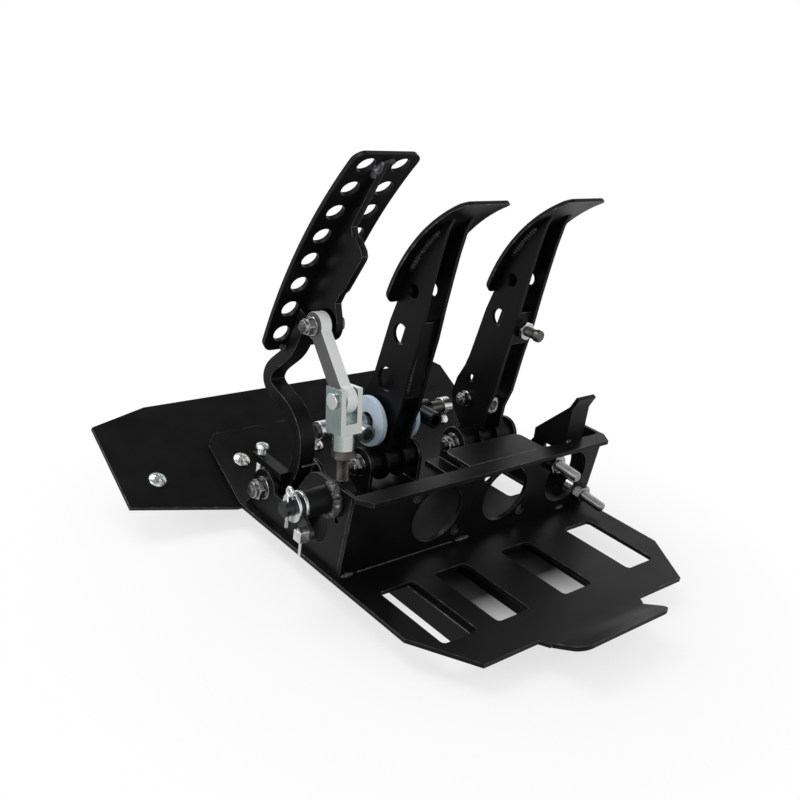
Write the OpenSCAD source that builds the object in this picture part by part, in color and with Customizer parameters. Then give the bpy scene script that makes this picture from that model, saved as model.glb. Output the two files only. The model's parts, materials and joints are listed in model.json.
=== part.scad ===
// Floor-mounted three-pedal box: throttle with cable crank, brake with balance bar, clutch with stop.
// Millimetres, +Z up, +Y towards the driver, +X from throttle to clutch.

/* [Box] */
// Sheet thickness of the folded box
sheet_t = 3; // [2.5:0.1:3.5]
// Width of the box over its side plates
box_w = 238; // [237:1:248]
// Height of the front face above the tray
box_h = 58.8; // [57:0.2:64]
// Forward lean of the front face in degrees
face_lean = 5.8; // [3:0.2:7]
// Depth of the stiffening flange on top of the face
flange_d = 10; // [8:0.5:14]

/* [Tray] */
// Reach of the tray in front of the face
tray_front = 111.5; // [105:0.5:118]
// Length of each window in the tray
window_l = 60; // [50:1:66]
// Width of each window in the tray
window_w = 28.4; // [22:0.2:30]
// Upward bend of the front lip in degrees
lip_bend = 26; // [15:1:35]
// Height of the runners under the tray
runner_h = 15; // [10:1:22]

/* [Heel plate] */
// Slope of the heel plate in degrees
heel_bend = 28; // [20:1:34]
// Length of the heel plate up its slope
heel_l = 97; // [80:1:110]
// Reach of the heel plate beyond the throttle side
heel_left = 79; // [72:1:95]
// Pitch of the heel screws
screw_pitch = 66; // [63:0.5:68]

/* [Master cylinders] */
// Pitch of the three cylinder bores
cyl_pitch = 65; // [63:0.5:67]
// Diameter of each cylinder bore
cyl_bore = 43; // [38:0.5:43.5]
// Pitch of the two bolts of a cylinder
bolt_pitch = 57.15; // [55:0.05:60]
// Diameter of the cylinder bolt holes
bolt_hole = 8.4; // [8.1:0.1:8.8]

/* [Pivots] */
// Diameter of the pedal pivot bolts
pivot_d = 8; // [7:0.5:9]
// Height of the pivot axis above the tray
pivot_z = 21; // [20:0.5:23]
// Radial running clearance on the pivots
run_gap = 0.05; // [0.03:0.01:0.08]

/* [Brake and clutch pedals] */
// Thickness of the pedal side plates
plate_t = 3; // [2.5:0.1:4]
// Width of the brake pedal over its plates
brake_w = 20; // [19:0.5:24]
// Width of the clutch pedal over its plates
clutch_w = 22; // [20:0.5:26]
// Width of the brake pad
brake_pad_w = 42; // [36:1:50]
// Width of the clutch pad
clutch_pad_w = 40; // [34:1:48]
// Thickness of the pads
pad_t = 3; // [2.5:0.1:4]
// Length of the balance bar
bar_l = 129; // [124:1:140]

/* [Throttle] */
// Width of the throttle blade
blade_w = 48; // [44:1:52]
// Thickness of the throttle blade
blade_t = 3; // [2.5:0.1:4]
// Diameter of the holes in the throttle blade
blade_hole = 12; // [8:0.5:14]
// Diameter of the link pins
link_pin = 8; // [7:0.1:8.4]
// Diameter of the crank shaft
shaft_d = 10; // [9:0.1:11]
// Radial play of the link's lower eye on the clevis pin
eye_play = 1.1; // [0.9:0.1:1.5]

/* [Hidden] */
$fn = 64;
t = sheet_t;
tc = t / cos(face_lean);
face_back = tc - box_h * tan(face_lean);
rear_y = 111;
lip_root = -118;
lip_tip = -140;
tray_x0 = -4.5;
tray_x1 = box_w;
heel_right = box_w + 15;
piv_y = 90;
thr_x = 17.5;
clutch_inset = 32;
cyl_x0 = box_w - clutch_inset - 2 * cyl_pitch;
brk_x = cyl_x0 + cyl_pitch / 2;
clu_x = cyl_x0 + 2 * cyl_pitch;
cyl_s = box_h / 2 - 0.7;
nut_room = 8;
bolt_ang = min(40, asin(2 * (box_h - t - nut_room - cyl_s) / bolt_pitch));
bar_y = 97;
bar_z = pivot_z + 31;
hub_d = 20;
thr_hub_d = 17;
lug_r = 13;
brk_b = 25;
clu_b0 = clu_x - 28;
thr_b = 40;
shaft_y = 17;
shaft_z = 49;
tube_l = 23;
crank_r = 62;
crank_lean = 8.5;
crank_x = 8.5;
pin_b = [shaft_y + crank_r * sin(crank_lean), shaft_z + crank_r * cos(crank_lean)];
pin_a = [59.7, pivot_z + 126];
link_t = 8;
stop_screw = [thr_x - 10, piv_y + 17];
pad_c = [-29.6, pivot_z + 97.9];
pad_r = 125.6;
pad_a0 = 13;
pad_a1 = 62.5;
blade_c = [-260.5, pivot_z - 3.9];
blade_r = 374.5;
blade_a0 = 15.9;
blade_a1 = 40.6;
stop_z = pivot_z + 101;
heel_rear = rear_y + heel_l * cos(heel_bend) + 2 * t * sin(heel_bend);
mid_x = (heel_right - heel_left) / 2;
mid_y = (lip_tip + heel_rear) / 2;
floor_z = -t - runner_h;
runner_w = 19;
runner_l = 192;
runner_t = 2;
lip_mid = tray_x1 / 2 - 4;
tray_mid = tray_x1 / 2 - 6;
screw_s = 34;
window_y = -25.3;

BLACK = [0.09, 0.09, 0.095];
ZINC = [0.78, 0.80, 0.83];
NYLON = [0.82, 0.88, 0.94];
LIGHT = [0.85, 0.85, 0.84];

// Shared helpers
module place() translate([-mid_x, -mid_y, -floor_z]) children();
module along_x(x0, l) translate([x0, 0, 0]) rotate([90, 0, 90]) linear_extrude(l) children();
module rod_x(p, x0, x1, d) translate([x0, p[0], p[1]]) rotate([0, 90, 0]) cylinder(d = d, h = x1 - x0);
module hex_x(p, x0, x1, af) translate([x0, p[0], p[1]]) rotate([0, 90, 0])
    cylinder(d = af / cos(30), h = x1 - x0, $fn = 6);
module ring_x(p, x0, x1, d, bore) difference() {
    rod_x(p, x0, x1, d);
    rod_x(p, x0 - 1, x1 + 1, bore);
}
module rrect(w, h, r) {
    translate([-w / 2 + r, -h / 2]) square([w - 2 * r, h]);
    translate([-w / 2, -h / 2 + r]) square([w, h - 2 * r]);
    for (sx = [-1, 1], sy = [-1, 1]) translate([sx * (w / 2 - r), sy * (h / 2 - r)]) circle(r);
}
module seg(p, q, w) translate(p) rotate(atan2(q[1] - p[1], q[0] - p[0]))
    translate([0, -w / 2]) square([norm(q - p), w]);
module strip(pts, w) {
    for (i = [0:len(pts) - 2]) seg(pts[i], pts[i + 1], w);
    for (p = pts) translate(p) circle(d = w);
}
module wedge(c, a0, a1, r) translate(c) polygon([[0, 0], 2 * r * [cos(a0), sin(a0)], 2 * r * [cos(a1), sin(a1)]]);
module arc_sheet(c, r, th, a0, a1) intersection() {
    difference() {
        translate(c) circle(r, $fn = 180);
        translate(c) circle(r - th, $fn = 180);
    }
    wedge(c, a0, a1, r);
}
function unit(v) = v / norm(v);
function bend(p, q, r, s, u) = ((2 * q) + (r - p) * u + (2 * p - 5 * q + 4 * r - s) * u * u
    + (3 * q - p - 3 * r + s) * u * u * u) / 2;
function smooth(pts, n) = let (m = len(pts) - 1) concat([for (i = [0:m - 1], k = [0:n - 1])
    bend(pts[max(i - 1, 0)], pts[i], pts[i + 1], pts[min(i + 2, m)], k / n)], [pts[m]]);
function across(pts, i) = let (d = unit(pts[min(i + 1, len(pts) - 1)] - pts[max(i - 1, 0)])) [-d[1], d[0]];
function ribbon(pts, w) = concat([for (i = [0:len(pts) - 1]) pts[i] + w / 2 * across(pts, i)],
    [for (i = [len(pts) - 1:-1:0]) pts[i] - w / 2 * across(pts, i)]);
function ring_at(p, d, r, n) = let (u = unit(cross(d, [1, 0, 1])), v = cross(unit(d), u))
    [for (k = [0:n - 1]) p + r * (cos(360 * k / n) * u + sin(360 * k / n) * v)];
module wire_path(pts, r, n = 8) {
    m = len(pts) - 1;
    polyhedron([for (i = [0:m]) each ring_at(pts[i], pts[min(i + 1, m)] - pts[max(i - 1, 0)], r, n)],
        concat([[for (k = [0:n - 1]) k]], [[for (k = [n - 1:-1:0]) m * n + k]],
            [for (i = [0:m - 1], k = [0:n - 1]) each let (a = i * n + k, b = i * n + (k + 1) % n)
                [[a, a + n, b + n], [a, b + n, b]]]));
}
module on_face() rotate([face_lean, 0, 0]) children();
module on_heel() translate([0, rear_y, 0]) rotate([heel_bend, 0, 0]) children();
module on_crank() translate([crank_x, shaft_y, shaft_z]) rotate([-crank_lean, 0, 0]) children();

piv = [piv_y, pivot_z];
bar = [bar_y, bar_z];
shaft = [shaft_y, shaft_z];
rod_pin = [bar_y + 3, bar_z + 1];
cyl_x = [cyl_x0, cyl_x0 + cyl_pitch, cyl_x0 + 2 * cyl_pitch];
win_x = [12.5, cyl_x[0] - 17.9, cyl_x[1] - 21.5, cyl_x[2] - 19.4];
run_x = [37, cyl_x[0] + 20.6, cyl_x[1] + 24];
screw_x = [-heel_left + 27, for (i = [0:3]) tray_mid + (i - 1.5) * screw_pitch];
bolt_dx = bolt_pitch / 2 * cos(bolt_ang);
bolt_ds = bolt_pitch / 2 * sin(bolt_ang);

// Folded frame
module sheet_profile() {
    la = 32;
    lt = [lip_root - la, la * tan(lip_bend)];
    ft = [rear_y + 90 * cos(heel_bend), 90 * sin(heel_bend)];
    polygon([lt, [lip_root, 0], [rear_y, 0], ft,
        ft + t * [sin(heel_bend), -cos(heel_bend)],
        [rear_y + t * tan(heel_bend / 2), -t], [lip_root - t * tan(lip_bend / 2), -t],
        lt + t * [-sin(lip_bend), -cos(lip_bend)]]);
}
module tray_plan() {
    fl = rear_y + 61 * cos(heel_bend);
    polygon([[tray_x0, -70], [tray_x0 + 25, -tray_front], [lip_mid - 49, -tray_front],
        [lip_mid - 45, lip_root], [lip_mid + 45, lip_root], [lip_mid + 49, -tray_front], [tray_x1 - 27, -tray_front], [tray_x1, -70],
        [tray_x1, fl - 8], [tray_x1 - 8, fl], [tray_x0 + 8, fl], [tray_x0, fl - 8]]);
    translate([lip_mid, (lip_tip - 100) / 2]) rrect(87, -100 - lip_tip, 8);
}
module window(x, y, l) translate([x + window_w / 2, y + l / 2, -10]) linear_extrude(20) rrect(window_w, l, 3);
module base_tray() color(BLACK) place() difference() {
    intersection() {
        along_x(tray_x0 - 5, tray_x1 - tray_x0 + 10) sheet_profile();
        translate([0, 0, -30]) linear_extrude(160) tray_plan();
    }
    for (x = win_x) window(x, window_y - window_l, window_l);
    window(win_x[3], 30, 38);
    for (i = [1:4]) on_heel() translate([screw_x[i], screw_s, -20]) cylinder(d = 6, h = 40);
}
module tray_runners() color(BLACK) place() for (x = run_x) runner(x);
module runner(x) translate([x, piv_y + 10 - runner_l, -t]) difference() {
    translate([0, 0, -runner_h]) cube([runner_w, runner_l, runner_h]);
    translate([runner_t, -1, -runner_h - 1]) cube([runner_w - 2 * runner_t, runner_l + 2, runner_h + 1 - runner_t]);
}
module face_profile() polygon([[0, 0], [-box_h * tan(face_lean), box_h], [face_back, box_h], [tc, 0]]);
module front_face() color(BLACK) place() difference() {
    union() {
        along_x(0, box_w) face_profile();
        translate([0, 0, box_h - t]) linear_extrude(t) polygon([[0, face_back - 0.5], [box_w, face_back - 0.5],
            [box_w, face_back - tc], [box_w - 7, face_back - tc - flange_d], [7, face_back - tc - flange_d],
            [0, face_back - tc]]);
    }
    for (x = cyl_x) on_face() translate([x, 0, cyl_s]) {
        rotate([90, 0, 0]) cylinder(d = cyl_bore, h = 30, center = true);
        for (k = [-1, 1]) translate([k * bolt_dx, 0, -k * bolt_ds]) rotate([90, 0, 0])
            cylinder(d = bolt_hole, h = 30, center = true);
    }
}
module side_outline() difference() {
    union() {
        polygon([[piv_y + 20, 0], [piv_y + 13, 8], [piv_y + 8, pivot_z - 7], [piv_y - 8, pivot_z - 7],
            [piv_y - 8, pivot_z + 1], [62, pivot_z + 1], [45, box_h - 9], [40, box_h - 3], [33, box_h],
            [face_back, box_h], [tc, 0]]);
        translate(piv) circle(lug_r);
    }
    translate(piv) circle(d = pivot_d);
    strip([[31, 25], [31, 27]], 28);
}
module side_left() color(BLACK) place() along_x(0, t) difference() {
    side_outline();
    translate([9.5, 36]) circle(d = 4);
    translate(shaft) circle(d = shaft_d + 0.6);
}
module side_right() color(BLACK) place() along_x(box_w - t, t) side_outline();
top_x0 = cyl_x[1] - 41;
top_x1 = cyl_x[1] + 33;
module top_plate() color(BLACK) place() difference() {
    translate([0, 0, box_h - t]) linear_extrude(t) {
        polygon([[top_x0, -12], [top_x1, -12], [top_x1, 18], [top_x1 - 6, 24], [top_x0 + 6, 24], [top_x0, 18]]);
        translate([top_x1 - 6, 18]) circle(6);
        translate([top_x0 + 6, 18]) circle(6);
    }
    translate([-1, -50, 0]) along_x(0, box_w + 2) translate([50, 0])
        polygon([[-60, 0], [-60, box_h + 5], [face_back - 5 * tan(face_lean), box_h + 5], [tc, 0]]);
}
module heel_outline() polygon([[-heel_left, 17], [-heel_left, heel_l - 10], [-heel_left + 43, heel_l],
    [heel_right - 6, heel_l], [heel_right, heel_l - 6], [heel_right, 14], [box_w + 2, -2], [-5, -2]]);
module heel_plate() color(BLACK) place() on_heel() difference() {
    translate([0, 0, -2 * t]) linear_extrude(t) heel_outline();
    for (x = screw_x) translate([x, screw_s, -20]) cylinder(d = 6, h = 40);
}
module button_screw(l) {
    intersection() {
        cylinder(d = 12.5, h = 3.4);
        translate([0, 0, -5.6]) sphere(9);
    }
    translate([0, 0, -l]) cylinder(d = 6, h = l + 1);
}
module heel_screws() color(ZINC) place() on_heel() {
    for (i = [0:4]) translate([screw_x[i], screw_s, i == 0 ? -t : 0]) difference() {
        button_screw(i == 0 ? t + 7 : 2 * t + 7);
        for (a = [0, 90]) rotate(a) translate([-3, -0.7, 1.6]) cube([6, 1.4, 5]);
    }
}
module heel_nuts() color(ZINC) place() on_heel() for (x = screw_x)
    translate([x, screw_s, -2 * t - 5]) difference() {
        cylinder(d = 10 / cos(30), h = 5, $fn = 6);
        translate([0, 0, -1]) cylinder(d = 6, h = 7);
    }

// Brackets on the frame
module stop_profile() {
    z0 = 51.5;
    y0 = tc - z0 * tan(face_lean);
    top = [face_back - 10 * sin(25), box_h + 25 + 10 * cos(25)];
    polygon([[y0, z0], [face_back, box_h], [face_back, box_h + 25], top,
        top + t * [cos(25), sin(25)], [face_back + t, box_h + 25 + t * tan(12.5)],
        [face_back + t, box_h], [y0 + t, z0]]);
}
module stop_bracket() color(BLACK) place() {
    along_x(clu_x - 9, 19) stop_profile();
    along_x(clu_x - 9, t) polygon([[face_back + 0.5, box_h - 5], [27, box_h - 5], [27, box_h - 1],
        [face_back + 2, box_h + 27], [face_back + 0.5, box_h + 20]]);
}
module ear(x) along_x(x, t) difference() {
    union() {
        translate(piv) circle(lug_r);
        translate([piv_y - lug_r, 0]) square([2 * lug_r, pivot_z]);
    }
    translate(piv) circle(d = pivot_d);
}
module foot(x0, x1) translate([x0, piv_y - lug_r, 0]) cube([x1 - x0, 2 * lug_r, t]);
module throttle_bracket() color(BLACK) place() {
    ear(thr_b);
    foot(thr_b, thr_b + 18);
}
module brake_bracket() color(BLACK) place() {
    ear(brk_x - brk_b);
    ear(brk_x + brk_b - t);
    foot(brk_x - brk_b, brk_x + brk_b);
}
module clutch_bracket() color(BLACK) place() {
    ear(clu_b0);
    foot(clu_b0 - 15, clu_b0 + t);
}
module crank_tube() color(BLACK) place() ring_x(shaft, -tube_l, 0, 18, shaft_d + 2 * run_gap);

// Fasteners of the frame
module face_bolts(front) on_face() for (k = [-1, 1])
    translate([clu_x + k * bolt_dx, front, cyl_s - k * bolt_ds]) rotate([90, 0, 0]) children();
module cylinder_bolts() color(ZINC) place() face_bolts(t) {
    cylinder(d = 8, h = t + 25);
    translate([0, 0, -7]) cylinder(d = 13, h = 7);
}
module cylinder_nuts() color(ZINC) place() face_bolts(0) rotate(bolt_ang - 30) difference() {
    cylinder(d = 13 / cos(30), h = 6.5, $fn = 6);
    translate([0, 0, -1]) cylinder(d = 8, h = 12);
}
module pivot_bolt(x0, x1, d, dir) {
    rod_x(piv, x0, x1, d);
    if (dir > 0) hex_x(piv, x1, x1 + 5.3, d + 5);
}
module nyloc(x1, d) difference() {
    union() {
        rod_x(piv, x1 - 1.6, x1, 2 * d);
        hex_x(piv, x1 - 8, x1 - 1.6, d + 5);
        rod_x(piv, x1 - 10, x1 - 8, d + 3.4);
    }
    rod_x(piv, x1 - 20, x1 + 5, d);
}
module throttle_pivot_bolt() color(ZINC) place() pivot_bolt(-14, thr_b + t, pivot_d, 1);
module throttle_pivot_nut() color(ZINC) place() nyloc(0, pivot_d);
module brake_pivot_bolt() color(ZINC) place() pivot_bolt(brk_x - brk_b - 12.5, brk_x + brk_b, pivot_d, 1);
module brake_pivot_nut() color(ZINC) place() nyloc(brk_x - brk_b, pivot_d);
module clutch_pivot_bolt() color(ZINC) place() pivot_bolt(clu_b0 - 12.5, box_w, pivot_d, 1);
module clutch_pivot_nut() color(ZINC) place() nyloc(clu_b0, pivot_d);

// Throttle pedal
arm_pts = [[80.7, pivot_z + 127.1], [87.1, pivot_z + 109], [95, pivot_z + 95], [113, pivot_z + 77],
    [112, pivot_z + 65], [88, pivot_z + 56.5], [75, pivot_z + 43], [73.5, pivot_z + 23],
    [80, pivot_z + 8], [piv_y, pivot_z]];
arm_w = 9;
module blade_side() arc_sheet(blade_c, blade_r, blade_t, blade_a0, blade_a1);
module round_to(c, r, a0, a1, x, w, cr) translate([x, c[0], c[1]]) rotate([(a0 + a1) / 2, 0, 0])
    translate([0, r + 20, 0]) rotate([90, 0, 0]) linear_extrude(80)
    rrect(w, 2 * r * sin((a1 - a0) / 2), cr);
module throttle_blade() color(BLACK) place() difference() {
    intersection() {
        along_x(thr_x - blade_w / 2 - 2, blade_w + 4)
            arc_sheet(blade_c, blade_r, blade_t, blade_a0 - 1, blade_a1 + 1);
        round_to(blade_c, blade_r, blade_a0, blade_a1, thr_x, blade_w, 7);
    }
    for (i = [0:7], k = [-1, 1]) translate([thr_x + k * 12.5, blade_c[0], blade_c[1]])
        rotate([17.8 + i * 3.057, 0, 0]) translate([0, blade_r, 0]) rotate([90, 0, 0])
        cylinder(d = blade_hole, h = 24, center = true);
}
arm_line = smooth(arm_pts, 6);
module arm_side() difference() {
    polygon(ribbon(arm_line, arm_w));
    blade_side();
    translate(piv) circle(d = thr_hub_d);
}
module throttle_arm() color(BLACK) place() along_x(thr_x - 6, 12) arm_side();
module throttle_rib() color(BLACK) place() along_x(thr_x - 2.5, 5) difference() {
    intersection() {
        union() {
            polygon([for (p = [[44, 211], [52, 188], [46, 178], [44.5, 172], [51, 160], [54, 141], [50, 130],
                [53, 120], [62, 116], [95, 119], [95, 139], [75, 189], [60, 211]]) [p[0], p[1] + pivot_z]]);
            translate(pin_a) circle(10.5);
        }
        translate(blade_c) circle(blade_r - blade_t, $fn = 180);
    }
    polygon(ribbon(arm_line, arm_w));
    translate(pin_a) circle(d = link_pin);
}
module stop_tab() polygon([for (p = [[-6, 0], [6, 0], [6, 11.3], [22, 11.8], [22, 17], [-13, 15.6], [-13, 10.4],
    [-6, 10.8]]) [p[0] + piv_y, p[1] + pivot_z]]);
module throttle_hub() color(BLACK) place() difference() {
    union() {
        rod_x(piv, t + 0.3, thr_b - 0.3, thr_hub_d);
        along_x(t + 0.4, thr_x - 6 - t - 0.4) stop_tab();
    }
    rod_x(piv, 0, thr_b + t, pivot_d + 2 * run_gap);
    translate([stop_screw[0], stop_screw[1], pivot_z]) cylinder(d = 6, h = 30);
}
module throttle_stop_screw() color(ZINC) place() translate([stop_screw[0], stop_screw[1], 0]) {
    cylinder(d = 6, h = pivot_z + 21);
    translate([0, 0, pivot_z + 21]) button_screw(1);
}
module link_bolt() color(ZINC) place() {
    rod_x(pin_a, -7.5, thr_x + 2.5, link_pin);
    hex_x(pin_a, thr_x + 2.5, thr_x + 7.8, link_pin + 5);
}
module link_nut() color(ZINC) place() {
    ring_x(pin_a, 2.3, 4.2, 16, link_pin);
    difference() {
        union() {
            hex_x(pin_a, -3.7, 2.3, link_pin + 5);
            rod_x(pin_a, -5.7, -3.7, link_pin + 3.4);
        }
        rod_x(pin_a, -9, 5, link_pin);
    }
    ring_x(pin_a, 12.8, thr_x - 2.5, 14, link_pin);
}

spring_wire = 2;
spring_r = thr_hub_d / 2 + 1.6;
spring_x = thr_x + 8.5;
spring_hook = arm_pts[7] - [arm_w / 2 + spring_wire / 2 + 0.3, 0];
spring_leg = 22;
spring_drop = asin((pivot_z - spring_r - 1.3) / spring_leg);
spring_end = 270 + 4 * 360;
function coil(a) = [spring_x + 2.3 * (a - 180) / 360, piv_y + spring_r * cos(a), pivot_z + spring_r * sin(a)];
module return_spring() color(ZINC) place() wire_path(concat(
    [[thr_x - 4, spring_hook[0], spring_hook[1]], [spring_x - 1.5, spring_hook[0], spring_hook[1]],
        [spring_x, spring_hook[0] + 0.8, spring_hook[1] - 1.5]],
    [for (a = [180:30:spring_end]) coil(a)],
    [coil(spring_end) + spring_leg * [0, cos(spring_drop), -sin(spring_drop)]]), spring_wire / 2);

// Throttle link and crank
module throttle_link() color(LIGHT) place() along_x(crank_x - link_t / 2, link_t) difference() {
    union() {
        seg(pin_b, pin_a, 11.5);
        translate(pin_a) circle(8.7);
        translate(pin_b) circle(8.7);
    }
    translate(pin_a) circle(d = link_pin + 2 * run_gap);
    translate(pin_b) circle(d = link_pin + 2 * eye_play);
}
module crank_shaft() color(ZINC) place() difference() {
    rod_x(shaft, -36, crank_x + 6.5, shaft_d);
    translate([-32, shaft_y, shaft_z]) cylinder(d = 2.6, h = 40, center = true);
}
module crank_rod() color(ZINC) place() {
    difference() {
        rod_x(shaft, crank_x - 4.9, crank_x + 4.9, 20);
        rod_x(shaft, crank_x - 8, crank_x + 8, shaft_d);
    }
    on_crank() translate([0, 0, 8.6]) cylinder(d = 8, h = 37.4);
}
module rod_nut() color(ZINC) place() on_crank() translate([0, 0, 24.5]) difference() {
    cylinder(d = 13 / cos(30), h = 5.5, $fn = 6);
    translate([0, 0, -1]) cylinder(d = 8, h = 8);
}
module crank_clevis() color(ZINC) place() on_crank() difference() {
    union() {
        translate([0, 0, 30]) cylinder(d = 14, h = 12);
        translate([-8, -8, 41]) cube([16, 16, 29]);
    }
    translate([-link_t / 2 - 0.3, -10, 48]) cube([link_t + 0.6, 20, 30]);
    translate([0, 0, 29]) cylinder(d = 8, h = 17);
    translate([0, 0, crank_r]) rotate([0, 90, 0]) cylinder(d = link_pin, h = 40, center = true);
}
module clevis_pin() color(ZINC) place() {
    rod_x(pin_b, crank_x - 9.6, crank_x + 10.5, link_pin);
    rod_x(pin_b, crank_x - 10, crank_x - 8, link_pin + 2.5);
    rod_x(pin_b, crank_x + 8, crank_x + 9.2, link_pin + 4);
}
lever_end = [shaft_y - 15, shaft_z - 11];
module crank_lever() color(ZINC) place() along_x(-28, 3) difference() {
    union() {
        strip([shaft, lever_end], 9);
        translate(shaft) circle(d = shaft_d + 6);
    }
    translate(shaft) circle(d = shaft_d);
}
module cable_clamp() color(ZINC) place() {
    translate([-35, lever_end[0] - 3.5, lever_end[1] - 3.5]) cube([7, 7, 7]);
    translate([-31.5, lever_end[0], lever_end[1] - 14]) cylinder(d = 2, h = 11);
}
module shaft_washers() color(ZINC) place() {
    ring_x(shaft, -25, -tube_l, 19, shaft_d);
    ring_x(shaft, -30, -28, 19, shaft_d);
}
module split_pin() color(ZINC) place() translate([-32, shaft_y, shaft_z]) {
    translate([0, 0, -13]) cylinder(d = 2.6, h = 22);
    translate([0, 0, 11]) rotate([0, 90, 0]) rotate_extrude() translate([2.6, 0]) circle(1.1, $fn = 24);
}

// Brake and clutch pedals
module pedal_side() {
    difference() {
        union() {
            polygon([for (p = [[61, 127], [63.5, 103], [68, 77], [72, 46], [77, 31], [78, 14], [90, 0], [104, 10],
                [113, 20], [117, 31], [114, 45], [108, 57], [104.5, 67.5], [95.5, 109], [90.2, 125.6],
                [90, 127]]) [p[0], p[1] + pivot_z]]);
            intersection() {
                polygon([for (p = [[47, 195], [52, 184], [55.5, 167], [58, 150], [61.2, 125.5], [99, 125.5],
                    [99, 150], [70, 195]]) [p[0], p[1] + pivot_z]]);
                translate(pad_c) circle(pad_r - pad_t, $fn = 180);
            }
            translate(piv) circle(14);
        }
        translate(piv) circle(d = hub_d);
    }
}
module pad(x, w) intersection() {
    along_x(x - w / 2 - 2, w + 4) arc_sheet(pad_c, pad_r, pad_t, pad_a0 - 2, pad_a1 + 2);
    round_to(pad_c, pad_r, pad_a0, pad_a1, x, w, 6);
}
module brake_side() difference() {
    pedal_side();
    translate([75, pivot_z + 136.4]) circle(d = 10);
    translate([83, pivot_z + 102.6]) circle(d = 15);
    translate([91.2, pivot_z + 65.4]) circle(d = 18);
    translate(bar) circle(d = 30);
}
module brake_plate_left() color(BLACK) place() along_x(brk_x - brake_w / 2, plate_t) brake_side();
module brake_plate_right() color(BLACK) place() along_x(brk_x + brake_w / 2 - plate_t, plate_t) brake_side();
module brake_pad() color(BLACK) place() pad(brk_x, brake_pad_w);
module brake_hub() color(BLACK) place()
    ring_x(piv, brk_x - brk_b + t + 0.3, brk_x + brk_b - t - 0.3, hub_d, pivot_d + 2 * run_gap);
module bar_sleeve() color(BLACK) place() ring_x(bar, brk_x - 14, brk_x + 14, 30, 20.6);
module brake_stiffener() color(BLACK) place()
    along_x(brk_x - brake_w / 2 + plate_t, brake_w - 2 * plate_t)
    seg([72.5, pivot_z + 57], [67, pivot_z + 116], 3);
module nylon_washers() color(NYLON) place() {
    ring_x(bar, brk_x - 18, brk_x - 14, 38, 14);
    ring_x(bar, brk_x + 14, brk_x + 18, 38, 14);
}
module balance_bar() color(ZINC) place() translate([brk_x, bar_y, bar_z]) rotate([0, 90, 0])
    rotate_extrude() intersection() {
        union() {
            translate([0, -bar_l / 2]) square([5, bar_l]);
            circle(10);
        }
        translate([0, -bar_l]) square([20, 2 * bar_l]);
    }
module barrel(x, l, bore) difference() {
    union() {
        rod_x([0, 0], x - l / 2, x + l / 2, 16);
        translate([x, 0, 0]) rotate([90, 0, 0]) cylinder(d = 13, h = 20);
    }
    rod_x([0, 0], x - l, x + l, bore);
    translate([x, -9, 0]) rotate([90, 0, 0]) cylinder(d = 8, h = 20);
}
module bar_barrels() color(ZINC) place() translate([0, bar_y, bar_z]) for (k = [-1, 1])
    barrel(brk_x + k * cyl_pitch / 2, 18, 10);
module bar_nuts() color(ZINC) place() for (k = [-1, 1])
    ring_x(bar, brk_x + k * (bar_l / 2 - 6) - 4, brk_x + k * (bar_l / 2 - 6) + 4, 14, 10);
module clutch_side() difference() {
    pedal_side();
    translate([74.5, pivot_z + 137.7]) circle(d = 10);
    translate([81.3, pivot_z + 106.5]) circle(d = 13);
    translate([98.7, pivot_z + 50]) circle(d = 6.5);
    translate(rod_pin) circle(d = 8);
}
module clutch_plate_left() color(BLACK) place() along_x(clu_x - clutch_w / 2, plate_t) clutch_side();
module clutch_plate_right() color(BLACK) place() along_x(clu_x + clutch_w / 2 - plate_t, plate_t) clutch_side();
module clutch_pad() color(BLACK) place() pad(clu_x, clutch_pad_w);
module clutch_hub() color(BLACK) place()
    ring_x(piv, clu_b0 + t + 0.3, box_w - t - 0.3, hub_d, pivot_d + 2 * run_gap);
module clutch_block() color(BLACK) place() difference() {
    translate([clu_x - clutch_w / 2 + plate_t, 66, stop_z - 12]) cube([clutch_w - 2 * plate_t, 14, 25]);
    translate([clu_x, 60, stop_z]) rotate([-90, 0, 0]) cylinder(d = 8, h = 30);
}
module clutch_stop_bolt() color(ZINC) place() translate([clu_x, 46, stop_z]) rotate([-90, 0, 0]) {
    cylinder(d = 8, h = 38);
    cylinder(d = 9.5, h = 4);
}
module clutch_stop_nut() color(ZINC) place() translate([clu_x, 59.5, stop_z]) rotate([-90, 0, 0]) difference() {
    cylinder(d = 13 / cos(30), h = 6.5, $fn = 6);
    translate([0, 0, -1]) cylinder(d = 8, h = 9);
}
module clutch_rod_bolt() color(ZINC) place() {
    x0 = clu_x - clutch_w / 2;
    rod_x(rod_pin, x0 - 5, clu_x + clutch_w / 2 + 9, 8);
    rod_x(rod_pin, x0 - 6.6, x0 - 1.6, 13);
    rod_x(rod_pin, x0 - 1.6, x0, 16);
    hex_x(rod_pin, clu_x + clutch_w / 2, clu_x + clutch_w / 2 + 6.5, 13);
}
module clutch_trunnion() color(ZINC) place() translate([0, rod_pin[0], rod_pin[1]])
    barrel(clu_x, clutch_w - 2 * plate_t, 8);

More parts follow.
